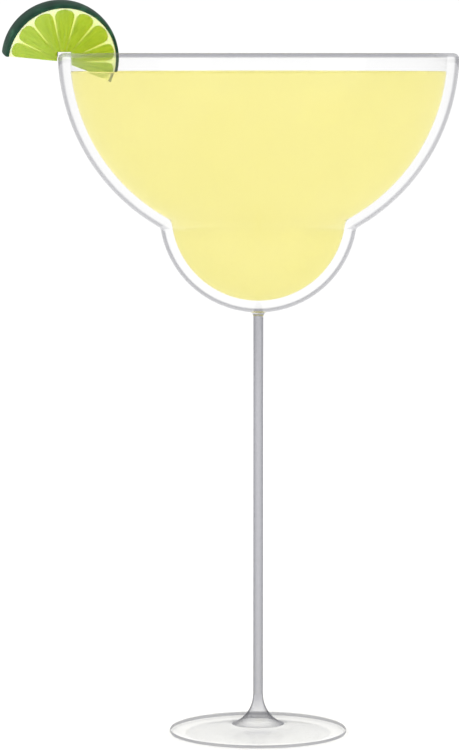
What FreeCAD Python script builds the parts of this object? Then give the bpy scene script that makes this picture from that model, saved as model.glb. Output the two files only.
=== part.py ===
"""A margarita in its stemmed glass, with half a lime wheel on the rim.

The glass is turned about the Z axis: a thin round foot, a slender stem, a small bulb and the
wide bowl above it, with one wall of even thickness.  The origin is the middle of the foot's
underside and +Z is up.  The drink fills bulb and bowl to just under the rim.  The lime sits
astride the rim on the -X side with its round side up, and one of its points dips into the
drink.  Lengths are millimetres and angles are degrees.
"""
import FreeCAD, Part
import math
import os

import Sketcher

Vector = FreeCAD.Vector

SIZES = [
    ("glass_height", 205.0, "foot's underside to the top of the rim"),
    ("bowl_radius", 59.7, "outside of the bowl, half a ball centred level with the rim"),
    ("bulb_radius", 29.6, "outside of the bulb under the bowl"),
    ("bulb_drop", 47.75, "middle of the bulb below the rim"),
    ("wall", 3.6, "thickness of the glass in bowl and bulb"),
    ("lip_flat", 0.1, "flat left between the two roundings of the lip"),
    ("waist_round", 1.2, "rounding of the groove outside, where bulb and bowl meet"),
    ("ridge_round", 3.0, "rounding of the ridge inside, where bulb and bowl meet"),
    ("stem_radius", 1.5, "stem, the same all the way up"),
    ("stem_root", 1.6, "rounding where the stem joins the bulb"),
    ("foot_radius", 26.7, "outside of the foot"),
    ("foot_edge", 1.6, "thickness of the foot at its edge"),
    ("foot_edge_round", 0.7, "rounding of the edge, above and below"),
    ("foot_middle", 2.3, "thickness of the foot where it sweeps up into the stem"),
    ("foot_sweep", 9.5, "radius of that sweep"),
    ("foot_ring", 22.0, "inner radius of the flat ring that the glass stands on"),
    ("foot_hollow", 0.7, "depth of the shallow hollow inside the ring"),
    ("drink_drop", 5.7, "surface of the drink below the rim"),
    ("drink_gap", 0.2, "clearance of the drink to the glass and the lime"),
    ("drink_parting", 1.4, "angle at which it parts from each cut side of the slice"),
    ("lime_radius", 17.1, "lime slice at its two cut faces"),
    ("lime_crown", 0.4, "bulge of the peel between the two faces"),
    ("lime_thickness", 7.2, "between the two faces"),
    ("lime_sweep", 196.0, "angle of the round side, a little over half a wheel"),
    ("lime_tip", 0.9, "rounding of the two points of the slice"),
    ("lime_roll", 76.9, "middle of the round side, up from level on the drink's side"),
    ("lime_turn", 14.0, "slice turned to look across the middle of the glass"),
    ("lime_lean", 15.0, "slice leaning forwards, its front looking down a little"),
    ("lime_out", 1.2, "middle of the slice outside the middle of the glass wall"),
    ("lime_sink", 1.6, "middle of the slice below the rim"),
    ("slit_gap", 0.3, "clearance of the slit in the lime to the glass"),
    ("slit_reach", 12.0, "depth below the rim to which the lime is cut clear of the glass"),
]
TINY = 0.001  # what counts as the same place, and as no volume

document = FreeCAD.newDocument("margarita")
sheet = document.addObject("Spreadsheet::Sheet", "sizes")
size = {}
for row, (alias, value, meaning) in enumerate(SIZES, start=1):
    sheet.set(f"A{row}", meaning)
    sheet.set(f"B{row}", str(value))
    sheet.setAlias(f"B{row}", alias)
    size[alias] = value
document.recompute()


class Section:
    """A closed outline in an upright sketch of a body that is turned about the Z axis.

    In it X is the distance from the axis and Y is the height.  Lines and arcs are drawn one
    after the other from where the last one ended, and are then held by constraints.
    """

    UPRIGHT, LEVEL = -2, -1

    def __init__(self, body, name, start):
        planes = {item.Role: item for item in body.Origin.OriginFeatures}
        self.sketch = body.newObject("Sketcher::SketchObject", name)
        self.sketch.AttachmentSupport = [(planes["XZ_Plane"], "")]
        self.sketch.MapMode = "FlatFace"
        self.at = Vector(*start)
        self.firsts = []

    def line(self, *end):
        end = Vector(*end)
        self.firsts.append(1)
        edge = self.sketch.addGeometry(Part.LineSegment(self.at, end), False)
        self.at = end
        return edge

    def arc(self, middle, *end, turns_right=False):
        middle, end = Vector(*middle), Vector(*end)
        circle = Part.Circle(middle, Vector(0, 0, 1), (self.at - middle).Length)
        angles = [math.atan2(p.y - middle.y, p.x - middle.x) for p in (self.at, end)]
        # An arc is kept anticlockwise, so one drawn the other way starts at its second end.
        if turns_right:
            angles.reverse()
        self.firsts.append(2 if turns_right else 1)
        edge = self.sketch.addGeometry(Part.ArcOfCircle(circle, *angles), False)
        self.at = end
        return edge

    def close(self):
        for edge, first in enumerate(self.firsts):
            following = (edge + 1) % len(self.firsts)
            joint = (edge, 3 - first, following, self.firsts[following])
            self.sketch.addConstraint(Sketcher.Constraint("Coincident", *joint))

    def end(self, edge):
        """The point of the edge that is last as it was drawn."""
        return edge, 3 - self.firsts[edge]

    def middle(self, edge):
        return edge, 3

    def put_on(self, axis, *points):
        for edge, point in points:
            self.sketch.addConstraint(Sketcher.Constraint("PointOnObject", edge, point, axis))

    def bind(self, kind, where, expression):
        """Hold a point's DistanceX or DistanceY, or an edge's Radius, at an expression."""
        if kind == "Radius":
            drawn = self.sketch.Geometry[where[0]].Radius
        else:
            point = self.sketch.getPoint(*where)
            drawn = point.x if kind == "DistanceX" else point.y
        number = self.sketch.addConstraint(Sketcher.Constraint(kind, *where, drawn))
        self.sketch.setExpression(f"Constraints[{number}]", expression)


def add_body(name):
    return document.addObject("PartDesign::Body", name)


def turn(body, section, kind="Revolution", sweep=None):
    """Turn a closed section about the Z axis: right round, or half a sweep to each side."""
    feature = body.newObject(f"PartDesign::{kind}", f"{section.sketch.Name}_turned")
    feature.Profile = section.sketch
    feature.ReferenceAxis = (section.sketch, ["V_Axis"])
    if sweep is None:
        feature.Angle = 360.0
    else:
        feature.Midplane = True
        feature.setExpression("Angle", sweep)
    document.recompute()
    return feature


def rings(feature, radius, low, high):
    """Names of the round edges about the Z axis near a radius, between two heights."""
    found = []
    for number, edge in enumerate(feature.Shape.Edges, start=1):
        box = edge.BoundBox
        is_level = box.ZLength < TINY
        is_round = abs(box.XMax - radius) < TINY and abs(box.YMin + radius) < TINY
        if is_level and is_round and low - TINY < box.ZMin < high + TINY:
            found.append(f"Edge{number}")
    return found


def round_off(body, base, edges, expression, name):
    feature = body.newObject("PartDesign::Fillet", name)
    feature.Base = (base, edges)
    feature.setExpression("Radius", expression)
    document.recompute()
    return feature


def waist(inset):
    """Radius and height at which bulb and bowl meet, both drawn in by the inset."""
    bowl, bulb = size["bowl_radius"] - inset, size["bulb_radius"] - inset
    up = (bowl ** 2 - bulb ** 2 - size["bulb_drop"] ** 2) / (2 * size["bulb_drop"])
    return math.sqrt(bulb ** 2 - up ** 2), size["glass_height"] - size["bulb_drop"] - up


RIM = (0, size["glass_height"])
BULB = (0, size["glass_height"] - size["bulb_drop"])


def hold_bowl_and_bulb(section, bulb_edge, bowl_edge, inset, top_drop):
    """Both arcs centred on the axis, with the radii that the inset leaves."""
    section.put_on(Section.UPRIGHT, section.middle(bulb_edge), section.middle(bowl_edge))
    section.bind("DistanceY", section.middle(bulb_edge), "sizes.glass_height - sizes.bulb_drop")
    section.bind("DistanceY", section.middle(bowl_edge), "sizes.glass_height")
    section.bind("Radius", (bulb_edge,), f"sizes.bulb_radius - ({inset})")
    section.bind("Radius", (bowl_edge,), f"sizes.bowl_radius - ({inset})")
    section.bind("DistanceY", section.end(bowl_edge), f"sizes.glass_height - ({top_drop})")


def add_inside(body, name, inset, inset_now, top_drop, drop_now):
    """The space in bulb and bowl, drawn in from their outsides, up to a level."""
    bottom = (0, BULB[1] - size["bulb_radius"] + inset_now)
    level = size["glass_height"] - drop_now
    edge_of_level = math.sqrt((size["bowl_radius"] - inset_now) ** 2 - drop_now ** 2)
    section = Section(body, name, bottom)
    bulb_edge = section.arc(BULB, *waist(inset_now))
    bowl_edge = section.arc(RIM, edge_of_level, level)
    top = section.line(0, level)
    axis = section.line(*bottom)
    section.close()
    section.put_on(Section.UPRIGHT, section.end(top), section.end(axis))
    section.sketch.addConstraint(Sketcher.Constraint("Horizontal", top))
    hold_bowl_and_bulb(section, bulb_edge, bowl_edge, inset, top_drop)
    return section


def make_glass():
    body = add_body("glass")
    stem, foot = size["stem_radius"], size["foot_radius"]
    sweep_middle = (stem + size["foot_sweep"], size["foot_middle"] + size["foot_sweep"])
    hollow, ring = size["foot_hollow"], size["foot_ring"]
    hollow_middle = (0, hollow - (ring ** 2 + hollow ** 2) / (2 * hollow))
    stem_top = BULB[1] - math.sqrt(size["bulb_radius"] ** 2 - stem ** 2)

    outside = Section(body, "outside", (0, hollow))
    under = outside.arc(hollow_middle, ring, 0, turns_right=True)
    flat = outside.line(foot, 0)
    edge = outside.line(foot, size["foot_edge"])
    slope = outside.line(sweep_middle[0], size["foot_middle"])
    sweep = outside.arc(sweep_middle, stem, sweep_middle[1], turns_right=True)
    upright = outside.line(stem, stem_top)
    bulb_edge = outside.arc(BULB, *waist(0))
    bowl_edge = outside.arc(RIM, size["bowl_radius"], RIM[1])
    top = outside.line(*RIM)
    axis = outside.line(0, hollow)
    outside.close()
    outside.put_on(Section.UPRIGHT, outside.middle(under), outside.end(axis), outside.end(top))
    outside.put_on(Section.LEVEL, outside.end(under), outside.end(flat))
    outside.bind("DistanceY", outside.end(axis), "sizes.foot_hollow")
    outside.bind("DistanceX", outside.end(under), "sizes.foot_ring")
    outside.bind("DistanceX", outside.end(flat), "sizes.foot_radius")
    outside.bind("DistanceX", outside.end(edge), "sizes.foot_radius")
    outside.bind("DistanceY", outside.end(edge), "sizes.foot_edge")
    outside.bind("DistanceX", outside.middle(sweep), "sizes.stem_radius + sizes.foot_sweep")
    outside.bind("DistanceY", outside.middle(sweep), "sizes.foot_middle + sizes.foot_sweep")
    outside.bind("DistanceX", outside.end(slope), "sizes.stem_radius + sizes.foot_sweep")
    outside.bind("DistanceY", outside.end(slope), "sizes.foot_middle")
    outside.bind("DistanceY", outside.end(sweep), "sizes.foot_middle + sizes.foot_sweep")
    outside.bind("DistanceX", outside.end(upright), "sizes.stem_radius")
    outside.sketch.addConstraint(Sketcher.Constraint("Horizontal", top))
    hold_bowl_and_bulb(outside, bulb_edge, bowl_edge, "0", "0")
    turned = turn(body, outside)
    solid_volume = turned.Shape.Volume

    inside = add_inside(body, "inside", "sizes.wall", size["wall"], "0", 0)
    hollowed = turn(body, inside, "Groove")
    if hollowed.Shape.Volume > solid_volume / 2:
        raise RuntimeError("the bowl was not hollowed")

    rim = size["glass_height"]
    lip = rings(hollowed, size["bowl_radius"], rim, rim)
    lip += rings(hollowed, size["bowl_radius"] - size["wall"], rim, rim)
    feature = round_off(body, hollowed, lip, "(sizes.wall - sizes.lip_flat) / 2", "lip")
    groove = rings(feature, waist(0)[0], BULB[1] - size["bulb_radius"], rim)
    feature = round_off(body, feature, groove, "sizes.waist_round", "waist_outside")
    ridge = rings(feature, waist(size["wall"])[0], BULB[1] - size["bulb_radius"], rim)
    feature = round_off(body, feature, ridge, "sizes.ridge_round", "waist_inside")
    root = rings(feature, stem, stem_top, stem_top)
    feature = round_off(body, feature, root, "sizes.stem_root", "stem_top")
    foot_edges = rings(feature, foot, 0, size["foot_edge"])
    round_off(body, feature, foot_edges, "sizes.foot_edge_round", "foot_rounded")
    return body


def make_slice(name, gap, parting):
    """Half a wheel as it is cut from the fruit, or with a gap the room that it needs.

    Its axis is the body's Z, and the peel bulges between its two faces.  Gap and parting are
    names in the sheet or "0": the gap is added all round, and each of the two sides through
    the middle swings out by the angle of parting.
    """
    body = add_body(name)
    grown, swung = size.get(gap, 0), size.get(parting, 0)
    gap = f"sizes.{gap}" if grown else "0"
    parting = f"sizes.{parting}" if swung else "0"
    radius, crown = size["lime_radius"] + grown, size["lime_crown"]
    half = size["lime_thickness"] / 2 + grown
    peel_radius = (half ** 2 + crown ** 2) / (2 * crown)
    section = Section(body, f"{name}_section", (0, -half))
    front = section.line(radius, -half)
    peel = section.arc((radius + crown - peel_radius, 0), radius, half)
    back = section.line(0, half)
    axis = section.line(0, -half)
    section.close()
    section.put_on(Section.UPRIGHT, section.end(back), section.end(axis))
    section.put_on(Section.LEVEL, section.middle(peel))
    named_half = f"(sizes.lime_thickness / 2 + {gap})"
    section.bind("DistanceX", section.end(front), f"sizes.lime_radius + {gap}")
    section.bind("DistanceX", section.end(peel), f"sizes.lime_radius + {gap}")
    section.bind("DistanceY", section.end(peel), named_half)
    section.bind("DistanceY", section.end(back), named_half)
    section.bind("DistanceY", section.end(axis), f"-{named_half}")
    named_peel_radius = f"({named_half} ^ 2 + sizes.lime_crown ^ 2) / (2 * sizes.lime_crown)"
    section.bind("Radius", (peel,), named_peel_radius)
    sweep = f"sizes.lime_sweep + 2 * {parting}"
    feature = turn(body, section, sweep=sweep)
    points = []
    for number, edge in enumerate(feature.Shape.Edges, start=1):
        middle = edge.valueAt((edge.FirstParameter + edge.LastParameter) / 2)
        if edge.BoundBox.ZLength > half and math.hypot(middle.x, middle.y) > radius:
            points.append(f"Edge{number}")
    round_off(body, feature, points, "sizes.lime_tip", f"{name}_points")
    across = "-(sizes.bowl_radius - sizes.wall / 2 + sizes.lime_out)"
    height = "sizes.glass_height - sizes.lime_sink"
    stands = "rotation(sizes.lime_turn; 0; 90 + sizes.lime_lean)"
    rolled = "rotation(sizes.lime_roll; 0; 0)"
    place = f"placement(vector({across}; 0; {height}); {stands} * {rolled})"
    body.setExpression("Placement", place)
    document.recompute()
    return body


def make_room_for_rim():
    """The bowl's wall near the rim, larger by the slit's clearance."""
    body = add_body("room_for_rim")
    gap, reach, rim = size["slit_gap"], size["slit_reach"], size["glass_height"]
    outer = size["bowl_radius"] + gap
    inner = size["bowl_radius"] - size["wall"] - gap
    low = rim - reach
    outer_low = math.sqrt(outer ** 2 - reach ** 2)
    inner_low = math.sqrt(inner ** 2 - reach ** 2)
    section = Section(body, "room", (inner, rim + gap))
    inner_side = section.line(inner, rim)
    inner_arc = section.arc(RIM, inner_low, low, turns_right=True)
    bottom = section.line(outer_low, low)
    outer_arc = section.arc(RIM, outer, rim)
    outer_side = section.line(outer, rim + gap)
    top = section.line(inner, rim + gap)
    section.close()
    section.put_on(Section.UPRIGHT, section.middle(inner_arc), section.middle(outer_arc))
    for arc, radius in (
        (inner_arc, "sizes.bowl_radius - sizes.wall - sizes.slit_gap"),
        (outer_arc, "sizes.bowl_radius + sizes.slit_gap"),
    ):
        section.bind("DistanceY", section.middle(arc), "sizes.glass_height")
        section.bind("Radius", (arc,), radius)
    section.bind("DistanceY", section.end(inner_side), "sizes.glass_height")
    section.bind("DistanceY", section.end(outer_arc), "sizes.glass_height")
    section.bind("DistanceY", section.end(inner_arc), "sizes.glass_height - sizes.slit_reach")
    section.bind("DistanceY", section.end(outer_side), "sizes.glass_height + sizes.slit_gap")
    for level in (bottom, top):
        section.sketch.addConstraint(Sketcher.Constraint("Horizontal", level))
    for upright in (inner_side, outer_side):
        section.sketch.addConstraint(Sketcher.Constraint("Vertical", upright))
    turn(body, section)
    return body


def cut(name, base, tool):
    feature = document.addObject("Part::Cut", name)
    feature.Base = base
    feature.Tool = tool
    document.recompute()
    if feature.Shape.Volume > base.Shape.Volume - TINY:
        raise RuntimeError(f"{name} was not cut")
    return feature


def make_drink(room_for_lime):
    body = add_body("drink_poured")
    inset = size["wall"] + size["drink_gap"]
    named_inset = "sizes.wall + sizes.drink_gap"
    filled = add_inside(body, "filled", named_inset, inset, "sizes.drink_drop", size["drink_drop"])
    feature = turn(body, filled)
    ridge = rings(feature, waist(inset)[0], BULB[1] - size["bulb_radius"], RIM[1])
    round_off(body, feature, ridge, "sizes.ridge_round + sizes.drink_gap", "filled_waist")
    return cut("drink", body, room_for_lime)


glass = make_glass()
whole_slice = make_slice("whole_slice", "0", "0")
lime_slice = cut("lime_slice", whole_slice, make_room_for_rim())
drink = make_drink(make_slice("room_for_slice", "drink_gap", "drink_parting"))

for item in document.Objects:
    if {"Invalid", "Error"} & set(item.State):
        raise RuntimeError(f"{item.Name} failed: {item.State}")

os.makedirs("parts", exist_ok=True)
for node in (glass, drink, lime_slice):
    shape = node.Shape
    if shape.isNull() or not shape.isValid() or len(shape.Solids) != 1:
        raise RuntimeError(f"{node.Label} is not one valid solid")
    shape.exportStep(f"parts/{node.Label}.step")
    print(node.Label, round(shape.Volume), "mm3", shape.BoundBox)
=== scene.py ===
"""The looks of a margarita with half a lime wheel on its rim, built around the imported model.

Lengths are metres in the model's own frame: the origin is under the middle of the foot, +Z is
up, and the lime sits on the -X side of the rim with its front towards -Y.
"""
import math

import bmesh
import bpy
from mathutils import Matrix, Vector, noise


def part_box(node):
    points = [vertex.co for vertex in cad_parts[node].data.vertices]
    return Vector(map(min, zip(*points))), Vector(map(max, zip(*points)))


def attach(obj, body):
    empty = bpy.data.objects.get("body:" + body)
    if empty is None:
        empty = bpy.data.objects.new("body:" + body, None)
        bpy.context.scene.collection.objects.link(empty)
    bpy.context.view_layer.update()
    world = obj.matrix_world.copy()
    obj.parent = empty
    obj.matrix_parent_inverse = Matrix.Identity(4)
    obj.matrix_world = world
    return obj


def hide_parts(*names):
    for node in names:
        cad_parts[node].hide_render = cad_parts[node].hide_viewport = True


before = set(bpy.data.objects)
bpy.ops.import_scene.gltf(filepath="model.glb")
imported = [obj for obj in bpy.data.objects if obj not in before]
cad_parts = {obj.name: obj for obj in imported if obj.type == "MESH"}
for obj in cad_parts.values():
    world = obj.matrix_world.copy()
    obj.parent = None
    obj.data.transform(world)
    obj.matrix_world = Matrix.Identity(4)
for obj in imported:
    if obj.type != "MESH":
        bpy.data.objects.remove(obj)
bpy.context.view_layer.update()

MM = 0.001

# ---------------------------------------------------------------- sizes

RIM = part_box("glass")[1].z
BOWL_RADIUS = max(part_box("glass")[1].xy)
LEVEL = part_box("drink")[1].z
BULB_RADIUS = 29.6 * MM
BULB_DROP = 47.75 * MM
WALL = 3.6 * MM
LIP_ROUND = 1.75 * MM
# The lip is painted light grey down to here, so that it shows as a painted shade line along the
# rim.
LIP_LINE = 1.25 * MM
WAIST_ROUND = 1.2 * MM
RIDGE_ROUND = 3.0 * MM
STEM_RADIUS = 1.5 * MM
STEM_ROOT = 1.6 * MM
FOOT_RADIUS = 26.7 * MM
FOOT_EDGE = 1.6 * MM
FOOT_EDGE_ROUND = 0.7 * MM
FOOT_MIDDLE = 2.3 * MM
FOOT_SWEEP = 9.5 * MM
FOOT_RING = 22.0 * MM
FOOT_HOLLOW = 0.7 * MM
# The drink reaches this far into the wall, so that no air shows between them.
WETTING = 0.12 * MM
# The foot's edge is painted a flat grey to this depth, a painted shade line along it.  The flare
# of the stem starts this far above the foot, and painted shade greys it from a little higher on.
FOOT_EDGE_BAND = 0.14 * MM
FLARE_START = 0.5 * MM
FLARE_GREYS = 2 * MM
# A liquid climbs a clean wall a little: this far up, over this width.
MENISCUS_RISE = 0.3 * MM
MENISCUS_WIDTH = 1.2 * MM

LIME_RADIUS = 17.1 * MM
LIME_CROWN = 0.4 * MM
LIME_THICKNESS = 7.2 * MM
LIME_TURN = math.radians(14)
LIME_LEAN = math.radians(15)
LIME_OUT = 1.2 * MM
LIME_SINK = 1.6 * MM
# Where the slice's points and the walls between its segments lie, anticlockwise from level.
LIME_RIGHT_POINT = math.radians(-21.1)
LIME_LEFT_POINT = math.radians(174.9)
LIME_WALLS = [math.radians(angle) for angle in (0, 24, 51, 76, 103, 130, 155)]
PEEL_DEPTH = 0.85 * MM
PEEL_ROUND = 0.25 * MM
# The pith lies a little under the cut face, reaches into the peel and stays short of its ends.
PITH_SUNK = 0.17 * MM
PITH_LAP = 0.1 * MM
PITH_SHORT = math.radians(0.35)
PULP_RADIUS = 15.8 * MM
SLIT_GAP = 0.3 * MM
SLIT_DEPTH = 10 * MM

RIM_MIDDLE = (0.0, RIM)
BULB_MIDDLE = (0.0, RIM - BULB_DROP)
LIME_MIDDLE = Vector((-(BOWL_RADIUS - WALL / 2 + LIME_OUT), 0, RIM - LIME_SINK))
# Takes a slice drawn flat, its front towards +Z and its round side up +Y, to the rim.
LIME_TURNED = Matrix.Rotation(LIME_TURN, 4, "Z") @ Matrix.Rotation(math.pi / 2 + LIME_LEAN, 4, "X")
LIME_PLACE = Matrix.Translation(LIME_MIDDLE) @ LIME_TURNED

# How many parts each kind of arc and turn is drawn in.
BOWL_STEPS = 40
RIDGE_STEPS = 12
SMALL_STEPS = 8
FOOT_EDGE_STEPS = 6
HOLLOW_STEPS = 12
SWEEP_STEPS = 24
STEM_STEPS = 24
MENISCUS_STEPS = 10
SURFACE_STEPS = 12
SLIT_STEPS = 6
SLICE_STEPS = 112
CROWN_STEPS = 4
PULP_CUTS = 25
TURN_STEPS = 192
SLIT_TURN_STEPS = 240

# Points nearer than this are one, and faces that meet at more than this angle have a sharp edge.
TOUCHING = 0.001 * MM
CREASE = math.radians(40)

# ---------------------------------------------------------------- camera, light and floor

CAMERA_DISTANCE = 1.054
CAMERA_DROP = 0.4 * MM
CAMERA_DOWN = math.radians(5.196)
CAMERA_LEFT = math.radians(0.47)
# The focal length and the width of the sensor are in millimetres, as Blender counts them.
CAMERA_LENS = 169.2
CAMERA_SENSOR = 36

# How bright the room is to look at, and how bright its walls are in what shines.
ROOM_WHITE = 1.03
WALL_GREY = 0.5
FLOOR_RADIUS = 12.0
# A trace of glow lifts the card to an even white.
FLOOR_GLOW = 0.02


def add_camera():
    """Level with the rim, so that it shows edge on, and pointed down the length of the stem."""
    data = bpy.data.cameras.new("camera")
    data.lens = CAMERA_LENS
    data.sensor_width = CAMERA_SENSOR
    camera = bpy.data.objects.new("camera", data)
    camera.location = (0, -CAMERA_DISTANCE, RIM - CAMERA_DROP)
    camera.rotation_euler = (math.pi / 2 - CAMERA_DOWN, 0, CAMERA_LEFT)
    bpy.context.scene.collection.objects.link(camera)
    bpy.context.scene.camera = camera


def add_softbox(name, place, size, power, mirrored):
    """A square lamp, with its size in metres and its power in watts, that looks at the bulb.

    What is shiny mirrors it or doesn't.
    """
    data = bpy.data.lights.new(name, "AREA")
    data.size = size
    data.energy = power
    lamp = bpy.data.objects.new(name, data)
    lamp.location = place
    lamp.visible_glossy = mirrored
    towards = Vector((0, 0, RIM - BULB_DROP)) - lamp.location
    lamp.rotation_euler = towards.to_track_quat("-Z", "Y").to_euler()
    bpy.context.scene.collection.objects.link(lamp)


def linear(code):
    """An sRGB hex colour as the linear colour that a shader takes."""
    parts = [int(code[i : i + 2], 16) / 255 for i in (1, 3, 5)]
    return (*[c / 12.92 if c <= 0.04045 else ((c + 0.055) / 1.055) ** 2.4 for c in parts], 1.0)


def add_node(tree, kind, inputs=None, **settings):
    """A node with its settings, and with each input set to a value or linked to a socket."""
    made = tree.nodes.new(kind)
    for name, value in settings.items():
        setattr(made, name, value)
    for name, value in (inputs or {}).items():
        if isinstance(value, bpy.types.NodeSocket):
            tree.links.new(value, made.inputs[name])
        else:
            made.inputs[name].default_value = value
    return made


def light_the_room():
    """A white room.  What is shiny mirrors its greyer walls, which draws the edges of glass.

    Light that has come through the drink or the stem counts as mirrored too, but sees the white.
    """
    world = bpy.data.worlds.new("white_room")
    bpy.context.scene.world = world
    world.use_nodes = True
    tree = world.node_tree
    tree.nodes.clear()
    rays = add_node(tree, "ShaderNodeLightPath")
    white = add_node(tree, "ShaderNodeBackground", {"Color": (1, 1, 1, 1),
                                                    "Strength": ROOM_WHITE})
    walls = add_node(tree, "ShaderNodeBackground", {"Color": (1, 1, 1, 1),
                                                    "Strength": WALL_GREY})
    mirrored = add_node(tree, "ShaderNodeMath", {0: rays.outputs["Is Glossy Ray"],
                                                 1: rays.outputs["Is Transmission Ray"]},
                        operation="SUBTRACT", use_clamp=True)
    seen = add_node(tree, "ShaderNodeMixShader",
                    {0: mirrored.outputs[0], 1: white.outputs[0], 2: walls.outputs[0]})
    add_node(tree, "ShaderNodeOutputWorld", {"Surface": seen.outputs[0]})
    add_softbox("key", (-0.8, -0.9, 0.85), size=0.6, power=3.0, mirrored=False)
    add_softbox("fill", (0.95, -0.9, 0.30), size=0.7, power=2.0, mirrored=True)
    add_softbox("back", (0.3, 1.0, 0.8), size=0.7, power=1.5, mirrored=False)


def add_floor():
    """A sheet of white card, much wider than any view of it."""
    drawn = bmesh.new()
    bmesh.ops.create_circle(drawn, cap_ends=True, segments=96, radius=FLOOR_RADIUS)
    material, tree, paint = new_material("white_card")
    paint.inputs["Roughness"].default_value = 0.9
    paint.inputs["Specular IOR Level"].default_value = 0.0
    # The card's mottle is much finer than this.  It is drawn 25 mm across so that it shows.
    mottle = add_node(tree, "ShaderNodeTexNoise", {"Vector": place_on_object(tree),
                                                   "Scale": 1 / (25 * MM)})
    tone = add_ramp(tree, mottle.outputs["Fac"], [(0.3, "#FCFCFC"), (0.7, "#FFFFFF")])
    tree.links.new(tone, paint.inputs["Base Color"])
    paint.inputs["Emission Color"].default_value = linear("#FFFFFF")
    paint.inputs["Emission Strength"].default_value = FLOOR_GLOW
    add_piece("floor", drawn, [material])


# ---------------------------------------------------------------- small helpers

def add_piece(name, drawn, materials):
    """The drawn mesh as an object at the origin, smooth but for its creases."""
    mesh = bpy.data.meshes.new(name)
    drawn.to_mesh(mesh)
    drawn.free()
    mesh.shade_smooth()
    mesh.set_sharp_from_angle(angle=CREASE)
    for material in materials:
        mesh.materials.append(material)
    piece = bpy.data.objects.new(name, mesh)
    bpy.context.scene.collection.objects.link(piece)
    return piece


def new_material(name):
    """A material with the tree of its nodes and its main shader."""
    material = bpy.data.materials.new(name)
    material.use_nodes = True
    tree = material.node_tree
    return material, tree, tree.nodes["Principled BSDF"]


def place_on_object(tree):
    """Real metres on the object, from the middle of the underside of the foot."""
    return add_node(tree, "ShaderNodeTexCoord").outputs["Object"]


def add_ramp(tree, value, stops):
    """A colour ramp through (position, hex colour) stops."""
    ramp = add_node(tree, "ShaderNodeValToRGB", {"Fac": value})
    elements = ramp.color_ramp.elements
    while len(elements) < len(stops):
        elements.new(0.5)
    for element, (position, code) in zip(elements, stops):
        element.position = position
        element.color = linear(code)
    return ramp.outputs["Color"]


class Outline:
    """A profile in the XZ plane, drawn point after point, to be turned about the Z axis."""

    def __init__(self, x, z):
        """Starts at (x, z)."""
        self.drawn = bmesh.new()
        self.last = self.drawn.verts.new((x, 0, z))

    def line(self, x, z, parts=1):
        """Straight on to (x, z), in equal parts."""
        start = self.last.co.copy()
        for part in range(1, parts + 1):
            out = bmesh.ops.extrude_vert_indiv(self.drawn, verts=[self.last])
            self.last = out["verts"][0]
            self.last.co = start.lerp(Vector((x, 0, z)), part / parts)

    def arc(self, middle, end, steps):
        """Round the middle, the short way, to the direction of the end."""
        centre = Vector((middle[0], 0, middle[1]))
        begin = self.last.co - centre
        turn = math.atan2(end[1] - middle[1], end[0] - middle[0]) - math.atan2(begin.z, begin.x)
        turn = (turn + math.pi) % (2 * math.pi) - math.pi
        out = bmesh.ops.spin(self.drawn, geom=[self.last], cent=centre, axis=(0, -1, 0),
                             angle=turn, steps=steps)
        self.last = next(g for g in out["geom_last"] if isinstance(g, bmesh.types.BMVert))

    def turned(self, steps=TURN_STEPS):
        """The profile turned right round, as a closed skin that faces outwards."""
        everything = self.drawn.verts[:] + self.drawn.edges[:]
        bmesh.ops.spin(self.drawn, geom=everything, cent=(0, 0, 0), axis=(0, 0, 1),
                       angle=2 * math.pi, steps=steps, use_merge=True)
        bmesh.ops.remove_doubles(self.drawn, verts=self.drawn.verts, dist=TOUCHING)
        bmesh.ops.recalc_face_normals(self.drawn, faces=self.drawn.faces)
        return self.drawn


def between(start, end, share):
    """The point that lies a share of the way from start to end."""
    return tuple(a + (b - a) * share for a, b in zip(start, end))


def waist(inset, rounding):
    """Where bulb and bowl, drawn in by an inset, run into the arc that rounds their corner.

    Returns the arc's middle, its first point on the bulb and its last point on the bowl.
    """
    bulb, bowl = BULB_RADIUS - inset, BOWL_RADIUS - inset
    a, b = bulb + rounding, bowl + rounding
    up = (b ** 2 - a ** 2 - BULB_DROP ** 2) / (2 * BULB_DROP)
    middle = (math.sqrt(a ** 2 - up ** 2), BULB_MIDDLE[1] - up)
    return middle, between(BULB_MIDDLE, middle, bulb / a), between(RIM_MIDDLE, middle, bowl / b)


# ---------------------------------------------------------------- glass

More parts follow.
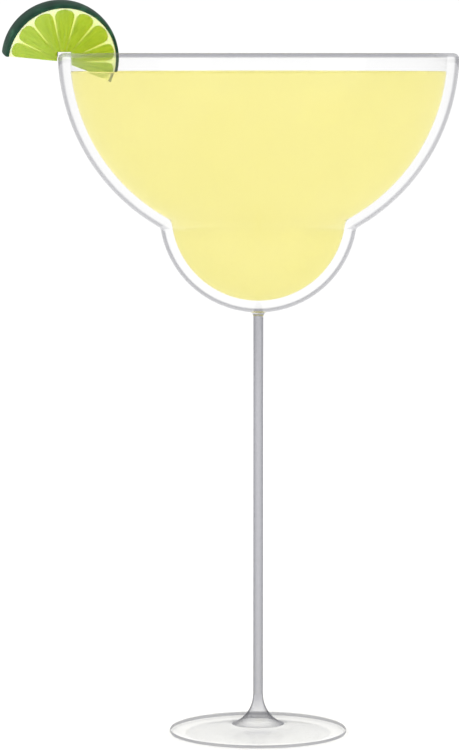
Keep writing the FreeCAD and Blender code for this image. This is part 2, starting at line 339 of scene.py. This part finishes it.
def make_clear_look(name, painted_shade_stops, waviness=0.0, mirroring=0.6, thickens=None):
    """Clear soda-lime glass: colourless, with soft mirrors that strengthen where it turns away.

    It is thin and even enough that nothing behind it shifts.  Its edges show as grey lines of
    painted shade, for the dark edges of glass against a bright room, and partly for the real
    greying where the sight runs long through the wall: the painted shade runs over how far a place
    is turned away, from 0 straight on to 1 edge on.  Where it thickens from one height to another,
    painted shade greys it as well.
    """
    material, tree, paint = new_material(name)
    tree.nodes.remove(paint)
    # Hot glass cools with slow waves, about 40 mm long.
    waves = add_node(tree, "ShaderNodeTexNoise", {"Vector": place_on_object(tree),
                                                  "Scale": 1 / (40 * MM), "Detail": 1.0})
    bump = add_node(tree, "ShaderNodeBump", {"Height": waves.outputs["Fac"],
                                             "Strength": waviness, "Distance": 2 * MM})
    turned = add_node(tree, "ShaderNodeLayerWeight", {"Blend": 0.5}).outputs["Facing"]
    # Painted shade: the colour greys by how far the surface is turned away, to draw the edges.
    painted_shade = add_ramp(tree, turned, painted_shade_stops)
    if thickens:
        height = add_node(tree, "ShaderNodeSeparateXYZ", {0: place_on_object(tree)}).outputs["Z"]
        rise = add_node(tree, "ShaderNodeMapRange", {"Value": height, "From Min": thickens[0],
                                                     "From Max": thickens[1]})
        # Painted shade: the flare greys with height as it thickens, from white to light grey.
        painted_height_shade = add_ramp(tree, rise.outputs[0], [(0.0, "#FFFFFF"), (1.0, "#DCDCDF")])
        both = add_node(tree, "ShaderNodeVectorMath", {0: painted_shade, 1: painted_height_shade}, operation="MULTIPLY")
        painted_shade = both.outputs[0]
    through = add_node(tree, "ShaderNodeBsdfTransparent", {"Color": painted_shade})
    mirror = add_node(tree, "ShaderNodeBsdfGlossy", {"Color": (1, 1, 1, 1), "Roughness": 0.04,
                                                     "Normal": bump.outputs["Normal"]})
    # Glass mirrors a few percent straight on, and more with the fifth power of the turn.
    grazing = add_node(tree, "ShaderNodeMath", {0: turned, 1: 5.0}, operation="POWER")
    share = add_node(tree, "ShaderNodeMath", {0: grazing.outputs[0], 1: mirroring, 2: 0.03},
                     operation="MULTIPLY_ADD")
    mixed = add_node(tree, "ShaderNodeMixShader", {0: share.outputs[0], 1: through.outputs[0],
                                                   2: mirror.outputs[0]})
    tree.links.new(mixed.outputs[0], tree.nodes["Material Output"].inputs["Surface"])
    return material


def make_wetted_look():
    """The inside of the wall where the drink wets it: it mirrors almost nothing there."""
    material, tree, paint = new_material("glass_wetted_inside")
    tree.nodes.remove(paint)
    # Where the drink clings it leaves faint patches, about 17 mm across.
    smears = add_node(tree, "ShaderNodeTexNoise", {"Vector": place_on_object(tree),
                                                   "Scale": 1 / (16.67 * MM)})
    tone = add_ramp(tree, smears.outputs["Fac"], [(0.3, "#FEFEFE"), (0.7, "#FFFFFF")])
    through = add_node(tree, "ShaderNodeBsdfTransparent", {"Color": tone})
    tree.links.new(through.outputs[0], tree.nodes["Material Output"].inputs["Surface"])
    return material


def make_stem_look():
    """Solid drawn glass: it bends what is behind it, and painted shade in its colour makes it light
    grey with darker sides."""
    material, tree, paint = new_material("drawn_glass_stem")
    turned = add_node(tree, "ShaderNodeLayerWeight", {"Blend": 0.5}).outputs["Facing"]
    # Painted shade: light grey in the middle, darkening towards the sides as the stem turns away.
    painted_shade = add_ramp(tree, turned, [(0.0, "#B4B4B9"), (0.25, "#929298"), (0.7, "#6C6C72"),
                                   (1.0, "#606066")])
    tree.links.new(painted_shade, paint.inputs["Base Color"])
    paint.inputs["Transmission Weight"].default_value = 1.0
    paint.inputs["Roughness"].default_value = 0.0
    paint.inputs["IOR"].default_value = 1.5
    return material


FLARE_MIDDLE = (STEM_RADIUS + FOOT_SWEEP, FOOT_MIDDLE + FOOT_SWEEP)
ROOT_RADIUS = BULB_RADIUS + STEM_ROOT
ROOT_DROP = math.sqrt(ROOT_RADIUS ** 2 - (STEM_RADIUS + STEM_ROOT) ** 2)
ROOT_MIDDLE = (STEM_RADIUS + STEM_ROOT, BULB_MIDDLE[1] - ROOT_DROP)
WAIST_HEIGHT = waist(0, WAIST_ROUND)[0][1]
# The outside looks away from the axis or, where it is nearer to the axis than this, down.
NEAR_AXIS = 10 * MM


def draw_glass():
    """Foot, stem, bulb and bowl in one skin, from under the foot up to the lip and back inside."""
    hollow_middle = (0, FOOT_HOLLOW - (FOOT_RING ** 2 + FOOT_HOLLOW ** 2) / (2 * FOOT_HOLLOW))
    edge_middle = FOOT_RADIUS - FOOT_EDGE_ROUND

    profile = Outline(0, FOOT_HOLLOW)
    profile.arc(hollow_middle, (FOOT_RING, 0), HOLLOW_STEPS)
    profile.line(edge_middle, 0)
    profile.arc((edge_middle, FOOT_EDGE_ROUND), (FOOT_RADIUS, FOOT_EDGE_ROUND), FOOT_EDGE_STEPS)
    profile.line(FOOT_RADIUS, FOOT_EDGE - FOOT_EDGE_ROUND)
    profile.arc((edge_middle, FOOT_EDGE - FOOT_EDGE_ROUND), (edge_middle, FOOT_EDGE),
                FOOT_EDGE_STEPS)
    profile.line(FLARE_MIDDLE[0], FOOT_MIDDLE, SMALL_STEPS)
    profile.arc(FLARE_MIDDLE, (STEM_RADIUS, FLARE_MIDDLE[1]), SWEEP_STEPS)
    profile.line(STEM_RADIUS, ROOT_MIDDLE[1], STEM_STEPS)
    profile.arc(ROOT_MIDDLE, BULB_MIDDLE, SMALL_STEPS)
    middle, on_bulb, on_bowl = waist(0, WAIST_ROUND)
    profile.arc(BULB_MIDDLE, on_bulb, BOWL_STEPS)
    profile.arc(middle, on_bowl, SMALL_STEPS)
    profile.arc(RIM_MIDDLE, (BOWL_RADIUS, RIM - LIP_ROUND), BOWL_STEPS)
    outer_lip, inner_lip = BOWL_RADIUS - LIP_ROUND, BOWL_RADIUS - WALL + LIP_ROUND
    profile.arc((outer_lip, RIM - LIP_ROUND), (outer_lip, RIM), SMALL_STEPS)
    profile.line(inner_lip, RIM)
    profile.arc((inner_lip, RIM - LIP_ROUND), (BOWL_RADIUS - WALL, RIM - LIP_ROUND), SMALL_STEPS)
    middle, on_bulb, on_bowl = waist(WALL, RIDGE_ROUND)
    profile.arc(RIM_MIDDLE, on_bowl, BOWL_STEPS)
    profile.arc(middle, on_bulb, RIDGE_STEPS)
    profile.arc(BULB_MIDDLE, (0, 0), BOWL_STEPS)
    return profile.turned()


def part_of_glass(face):
    """The name of the part of the glass that a face belongs to."""
    place, normal = face.calc_center_median(), face.normal
    outside = normal.x * place.x + normal.y * place.y - normal.z * NEAR_AXIS > 0
    if math.hypot(place.x, place.y) > FOOT_RADIUS - FOOT_EDGE_BAND and place.z < FOOT_EDGE:
        return "foot_edge"
    if place.z < FOOT_MIDDLE + FLARE_START:
        return "foot"
    if place.z < FLARE_MIDDLE[1]:
        return "flare"
    if place.z < ROOT_MIDDLE[1] + STEM_ROOT:
        return "stem"
    if place.z > RIM - LIP_LINE:
        return "lip"
    if outside:
        return "bowl" if place.z > WAIST_HEIGHT else "bulb"
    return "inside" if place.z > LEVEL else "wetted"


def make_glass():
    """The glass in one skin, each part of it with its own look."""
    # The greys in these stops are painted shade for the dark edges of glass against a bright room:
    # each part greys where it turns edge on, and the flare also with height.
    looks = {
        "bowl": make_clear_look("blown_glass_bowl", [(0.78, "#FFFFFF"), (0.83, "#D2D2D5")], 0.05),
        "bulb": make_clear_look("blown_glass_bulb", [(0.70, "#FFFFFF"), (0.75, "#D2D2D5")], 0.05),
        # Painted shade: a flat light grey draws the lip as a line along the rim.
        "lip": make_clear_look("fire_polished_lip_painted_shade", [(0.0, "#EAEAEC"), (1.0, "#E4E4E6")]),
        "inside": make_clear_look("dry_inside_of_bowl", [(0.0, "#FFFFFF"), (1.0, "#FAFAFA")],
                                  mirroring=0.15),
        "wetted": make_wetted_look(),
        "stem": make_stem_look(),
        "flare": make_clear_look("drawn_glass_flare", [(0.35, "#F4F4F5"), (0.75, "#9A9A9F")],
                                 thickens=(FOOT_MIDDLE + FLARE_GREYS, FLARE_MIDDLE[1])),
        "foot": make_clear_look("pressed_foot", [(0.85, "#FFFFFF"), (0.92, "#A8A8AC")], 0.1),
        # Painted shade: a flat grey on the foot's edge draws it as a line.
        "foot_edge": make_clear_look("foot_edge_painted_shade", [(0.0, "#B4B4B8"), (1.0, "#A2A2A6")]),
    }
    order = list(looks)
    drawn = draw_glass()
    for face in drawn.faces:
        face.material_index = order.index(part_of_glass(face))
    piece = add_piece("stemmed_glass", drawn, list(looks.values()))
    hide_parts("glass")
    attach(piece, "root")


# ---------------------------------------------------------------- drink

def make_drink_look():
    """Tequila, orange liqueur and fresh lime juice, shaken: pale yellow and cloudy with juice, so
    that light passes but what is sunk in it turns faint."""
    material, tree, paint = new_material("shaken_lime_cocktail")
    # The juice clouds it in billows, about 22 mm across.
    cloud = add_node(tree, "ShaderNodeTexNoise", {"Vector": place_on_object(tree),
                                                  "Scale": 1 / (22.2 * MM), "Detail": 3.0})
    tone = add_ramp(tree, cloud.outputs["Fac"], [(0.25, "#F3EC9A"), (0.75, "#F5EEA1")])
    tree.links.new(tone, paint.inputs["Base Color"])
    paint.inputs["Roughness"].default_value = 0.0
    # Much lower than a real drink's 1.34, so that what is behind it isn't turned about.
    paint.inputs["IOR"].default_value = 1.02
    paint.inputs["Transmission Weight"].default_value = 0.68
    return material


def make_drink():
    """Bulb and bowl filled, with the surface drawn up a little all round the wall."""
    inset = WALL - WETTING
    bowl = BOWL_RADIUS - inset
    rise = LEVEL + MENISCUS_RISE
    curve = (MENISCUS_WIDTH ** 2 + MENISCUS_RISE ** 2) / (2 * MENISCUS_RISE)
    touch = math.sqrt(bowl ** 2 - (RIM - rise) ** 2)

    profile = Outline(0, BULB_MIDDLE[1] - BULB_RADIUS + inset)
    middle, on_bulb, on_bowl = waist(inset, RIDGE_ROUND - WETTING)
    profile.arc(BULB_MIDDLE, on_bulb, BOWL_STEPS)
    profile.arc(middle, on_bowl, RIDGE_STEPS)
    profile.arc(RIM_MIDDLE, (touch, rise), BOWL_STEPS)
    still = touch - MENISCUS_WIDTH
    profile.arc((still, LEVEL + curve), (still, LEVEL), MENISCUS_STEPS)
    profile.line(0, LEVEL, SURFACE_STEPS)
    piece = add_piece("poured_drink", profile.turned(), [make_drink_look()])
    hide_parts("drink")
    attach(piece, "root")


# ---------------------------------------------------------------- lime

def place_on_slice(tree):
    """Coordinates as the slice is drawn flat: its axis is Z and the origin is its middle."""
    mapping = add_node(tree, "ShaderNodeMapping",
                       {"Vector": place_on_object(tree), "Location": LIME_MIDDLE,
                        "Rotation": LIME_TURNED.to_euler()}, vector_type="TEXTURE")
    return mapping.outputs["Vector"]


def place_along_rays(tree, width, length):
    """Coordinates, 1 to each grain of this width and length, that run out from the slice's middle.

    Returns them with the distance from the middle.
    """
    flat = add_node(tree, "ShaderNodeSeparateXYZ", {0: place_on_slice(tree)})
    x, y, z = flat.outputs
    angle = add_node(tree, "ShaderNodeMath", {0: y, 1: x}, operation="ARCTAN2")
    around = add_node(tree, "ShaderNodeMath", {0: angle.outputs[0], 1: LIME_RADIUS / width},
                      operation="MULTIPLY")
    x2 = add_node(tree, "ShaderNodeMath", {0: x, 1: x}, operation="MULTIPLY")
    square = add_node(tree, "ShaderNodeMath", {0: y, 1: y, 2: x2.outputs[0]},
                      operation="MULTIPLY_ADD")
    radius = add_node(tree, "ShaderNodeMath", {0: square.outputs[0]}, operation="SQRT")
    out = add_node(tree, "ShaderNodeMath", {0: radius.outputs[0], 1: 1 / length},
                   operation="MULTIPLY")
    depth = add_node(tree, "ShaderNodeMath", {0: z, 1: 1 / width}, operation="MULTIPLY")
    rays = add_node(tree, "ShaderNodeCombineXYZ", {0: around.outputs[0], 1: out.outputs[0],
                                                   2: depth.outputs[0]})
    return rays.outputs[0], radius.outputs[0]


def make_peel_look():
    """Waxy lime peel: deep green with a blue cast, pitted by oil glands under a soft gloss."""
    material, tree, paint = new_material("waxy_lime_peel")
    where = place_on_slice(tree)
    # The green is blotched, about 4 mm across.
    blotch = add_node(tree, "ShaderNodeTexNoise", {"Vector": where, "Scale": 1 / (3.85 * MM),
                                                   "Detail": 4.0})
    tone = add_ramp(tree, blotch.outputs["Fac"],
                    [(0.3, "#0B3324"), (0.55, "#13422F"), (0.75, "#2F6A49")])
    tree.links.new(tone, paint.inputs["Base Color"])
    # Oil glands lie about 0.7 mm apart.
    glands = add_node(tree, "ShaderNodeTexVoronoi", {"Vector": where, "Scale": 1 / (0.7 * MM)})
    bump = add_node(tree, "ShaderNodeBump", {"Height": glands.outputs["Distance"], "Strength": 0.35,
                                             "Distance": 0.2 * MM})
    tree.links.new(bump.outputs["Normal"], paint.inputs["Normal"])
    paint.inputs["Roughness"].default_value = 0.5
    paint.inputs["Specular IOR Level"].default_value = 0.2
    paint.inputs["Coat Weight"].default_value = 0.08
    paint.inputs["Coat Roughness"].default_value = 0.3
    return material


def make_pith_look():
    """Pith and the walls between the segments: spongy, nearly white outside, greener inside."""
    material, tree, paint = new_material("lime_pith")
    # Its fibres are drawn 1.1 mm wide, about as coarse as they need to show.
    rays, radius = place_along_rays(tree, 1.11 * MM, 3.33 * MM)
    share = add_node(tree, "ShaderNodeMath", {0: radius, 1: LIME_RADIUS}, operation="DIVIDE")
    tone = add_ramp(tree, share.outputs[0],
                    [(0.30, "#D2EC5E"), (0.75, "#E6F986"), (0.92, "#EEFDC6")])
    tree.links.new(tone, paint.inputs["Base Color"])
    fibres = add_node(tree, "ShaderNodeTexNoise", {"Vector": rays, "Scale": 1.0, "Detail": 3.0})
    bump = add_node(tree, "ShaderNodeBump", {"Height": fibres.outputs["Fac"], "Strength": 0.4,
                                             "Distance": 0.1 * MM})
    tree.links.new(bump.outputs["Normal"], paint.inputs["Normal"])
    paint.inputs["Roughness"].default_value = 0.55
    paint.inputs["Subsurface Weight"].default_value = 0.3
    paint.inputs["Subsurface Radius"].default_value = (0.6, 1.0, 0.3)
    paint.inputs["Subsurface Scale"].default_value = 1.0 * MM
    return material


def make_pulp_look():
    """Cut lime pulp: yellow green juice sacs that run out from the middle, wet and glassy."""
    material, tree, paint = new_material("cut_lime_pulp")
    # A juice sac is about 0.9 mm wide and 6 mm long.
    rays = place_along_rays(tree, 0.909 * MM, 6.25 * MM)[0]
    streaks = add_node(tree, "ShaderNodeTexNoise", {"Vector": rays, "Scale": 1.0, "Detail": 4.0,
                                                    "Roughness": 0.6})
    tone = add_ramp(tree, streaks.outputs["Fac"],
                    [(0.25, "#8CA81A"), (0.5, "#A4C020"), (0.75, "#B4CC30")])
    tree.links.new(tone, paint.inputs["Base Color"])
    bump = add_node(tree, "ShaderNodeBump", {"Height": streaks.outputs["Fac"], "Strength": 0.3,
                                             "Distance": 0.1 * MM})
    tree.links.new(bump.outputs["Normal"], paint.inputs["Normal"])
    paint.inputs["Roughness"].default_value = 0.3
    paint.inputs["Subsurface Weight"].default_value = 0.35
    paint.inputs["Subsurface Radius"].default_value = (0.5, 1.0, 0.15)
    paint.inputs["Subsurface Scale"].default_value = 1.5 * MM
    paint.inputs["Coat Weight"].default_value = 0.35
    paint.inputs["Coat Roughness"].default_value = 0.12
    return material


def sweep_section(points, rounded=(), trim=0.0):
    """A closed section of (distance, height) points, turned about Z from point to point.

    The corners whose numbers are in rounded are rounded, and trim is what each end stays short.
    """
    drawn = bmesh.new()
    corners = [drawn.verts.new((x, 0, z)) for x, z in points]
    drawn.faces.new(corners)
    bmesh.ops.bevel(drawn, geom=[corners[number] for number in rounded], offset=PEEL_ROUND,
                    segments=3, profile=0.5, affect="VERTICES", material=-1)
    start = Matrix.Rotation(LIME_RIGHT_POINT + trim, 4, "Z")
    bmesh.ops.transform(drawn, matrix=start, verts=drawn.verts)
    bmesh.ops.spin(drawn, geom=drawn.verts[:] + drawn.edges[:] + drawn.faces[:], cent=(0, 0, 0),
                   axis=(0, 0, 1), angle=LIME_LEFT_POINT - LIME_RIGHT_POINT - 2 * trim,
                   steps=SLICE_STEPS)
    bmesh.ops.remove_doubles(drawn, verts=drawn.verts, dist=TOUCHING)
    bmesh.ops.recalc_face_normals(drawn, faces=drawn.faces)
    return drawn


# The form of a segment.  A share runs from 0 in the middle of the fruit to 1 at the pulp's end.
# The walls beside it begin at one share and thicken from there on.
WALL_BEGINS = 0.42
HALF_WALL = 0.15 * MM
HALF_WALL_GAIN = 0.27 * MM
# Its outer end is an arch from this share on, with this much width left at the very end, which is
# bowed like a cosine over an angle in radians, to a depth.
ARCH_BEGINS = 0.84
ARCH_POWER = 2.2
ARCH_WIDTH = 0.35
BOW_ANGLE = 0.75
BOW_DEPTH = 0.7 * MM
# Its cut face is rounded down at its edge, and dips between the juice sacs.
EDGE_DROP = 0.08 * MM
SAC_DIP = 0.08 * MM
# How many sacs there are to a radian, and from the middle outwards.
SACS_ROUND_ABOUT = 11.0
SACS_OUTWARDS = 3.2


def pulp_place(u, v, w, start, end):
    """Where a point of a cube goes in the segment that fills the angles start to end.

    Each runs from -1 to 1: u across the segment, v from the middle of the fruit outwards, and w
    through the slice.
    """
    along = (v + 1) / 2
    share = along * (2 - along)
    reach = PULP_RADIUS * share
    # A wall between two segments thins towards the middle and ends where the pulp runs together.
    growth = (share - WALL_BEGINS) / (1 - WALL_BEGINS)
    lateral = (HALF_WALL + HALF_WALL_GAIN * growth) / reach if growth > 0 else 0.0
    # At the points of the slice there is no wall, and the pulp draws in by half, at its faces only.
    drawn_in = lateral * w ** 4 / 2
    low = start + (lateral if start > LIME_RIGHT_POINT else drawn_in)
    high = end - (lateral if end < LIME_LEFT_POINT else drawn_in)
    arch = max(0.0, (share - ARCH_BEGINS) / (1 - ARCH_BEGINS))
    width = max(0.0, 1 - arch ** ARCH_POWER) ** (1 / ARCH_POWER)
    angle = (low + high) / 2 + u * (high - low) / 2 * (ARCH_WIDTH + (1 - ARCH_WIDTH) * width)
    reach -= (1 - math.cos(u * BOW_ANGLE)) * arch * BOW_DEPTH
    # This is near 0 over most of the face, and 1 along its sides and its outer end.
    edge = 1 - (1 - abs(u) ** 8) * (1 - share ** 16)
    # The two faces of the slice have sacs of their own.
    sacs = Vector((angle * SACS_ROUND_ABOUT, share * SACS_OUTWARDS, 3.0 if w > 0 else -3.0))
    dip = noise.voronoi(sacs, distance_metric="DISTANCE", exponent=2.5)[0][0]
    # Towards the middle the sacs fade out.
    height = LIME_THICKNESS / 2 - EDGE_DROP * edge - SAC_DIP * dip * min(1.0, share * 3)
    return Vector((reach * math.cos(angle), reach * math.sin(angle), w * height))


def make_pulp():
    """Eight segments of pulp, each a cube of many small faces pressed into its wedge."""
    drawn = bmesh.new()
    bounds = [LIME_RIGHT_POINT, *LIME_WALLS, LIME_LEFT_POINT]
    for start, end in zip(bounds, bounds[1:]):
        cube = bmesh.ops.create_cube(drawn, size=2)["verts"]
        edges = list({edge for vert in cube for edge in vert.link_edges})
        bmesh.ops.subdivide_edges(drawn, edges=edges, cuts=PULP_CUTS, use_grid_fill=True)
        for vert in [v for v in drawn.verts if not v.tag]:
            vert.co = pulp_place(*vert.co, start, end)
            vert.tag = True
    bmesh.ops.recalc_face_normals(drawn, faces=drawn.faces)
    bmesh.ops.transform(drawn, matrix=LIME_PLACE, verts=drawn.verts)
    return add_piece("lime_pulp", drawn, [make_pulp_look()])


def cut_away(piece, cutter):
    """Takes the cutter's shape out of the piece for good."""
    cut = piece.modifiers.new("slit", "BOOLEAN")
    cut.operation, cut.solver, cut.object = "DIFFERENCE", "MANIFOLD", cutter
    evaluated = piece.evaluated_get(bpy.context.evaluated_depsgraph_get())
    mesh = bpy.data.meshes.new_from_object(evaluated)
    piece.modifiers.clear()
    piece.data = mesh


def make_slit_cutter():
    """The wall of the glass near the rim, larger by the clearance of the slit."""
    low = RIM - SLIT_DEPTH
    outer, inner = BOWL_RADIUS + SLIT_GAP, BOWL_RADIUS - WALL - SLIT_GAP
    outer_low = math.sqrt(outer ** 2 - (RIM - low) ** 2)
    inner_low = math.sqrt(inner ** 2 - (RIM - low) ** 2)
    profile = Outline(inner, RIM + SLIT_GAP)
    profile.line(inner, RIM)
    profile.arc(RIM_MIDDLE, (inner_low, low), SLIT_STEPS)
    profile.line(outer_low, low)
    profile.arc(RIM_MIDDLE, (outer, RIM), SLIT_STEPS)
    profile.line(outer, RIM + SLIT_GAP)
    profile.line(inner, RIM + SLIT_GAP)
    return add_piece("slit_cutter", profile.turned(SLIT_TURN_STEPS), [])


def make_lime():
    """Peel, pith and pulp, drawn flat, put on the rim and slit for the wall of the glass."""
    half = LIME_THICKNESS / 2
    inner = LIME_RADIUS - PEEL_DEPTH
    crown = []
    for step in range(-CROWN_STEPS, CROWN_STEPS + 1):
        share = step / CROWN_STEPS
        crown.append((LIME_RADIUS + LIME_CROWN * (1 - share ** 2), share * half))
    peel = sweep_section([(inner, -half), *crown, (inner, half)], rounded=(1, len(crown)))
    bmesh.ops.transform(peel, matrix=LIME_PLACE, verts=peel.verts)
    face, outer = half - PITH_SUNK, inner + PITH_LAP
    pith = sweep_section([(0, -face), (outer, -face), (outer, face), (0, face)], trim=PITH_SHORT)
    bmesh.ops.transform(pith, matrix=LIME_PLACE, verts=pith.verts)
    cutter = make_slit_cutter()
    pieces = [
        add_piece("lime_peel", peel, [make_peel_look()]),
        add_piece("lime_pith", pith, [make_pith_look()]),
        make_pulp(),
    ]
    for piece in pieces:
        cut_away(piece, cutter)
        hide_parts("lime_slice")
        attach(piece, "root")
    bpy.data.objects.remove(cutter)


# ---------------------------------------------------------------- all together

scene = bpy.context.scene
scene.view_settings.view_transform = "Standard"
# The denoiser's guide images leave grain in the cloudy drink, so it goes by the colours alone.
scene.cycles.denoising_input_passes = "RGB"
add_camera()
light_the_room()
add_floor()
make_glass()
make_drink()
make_lime()
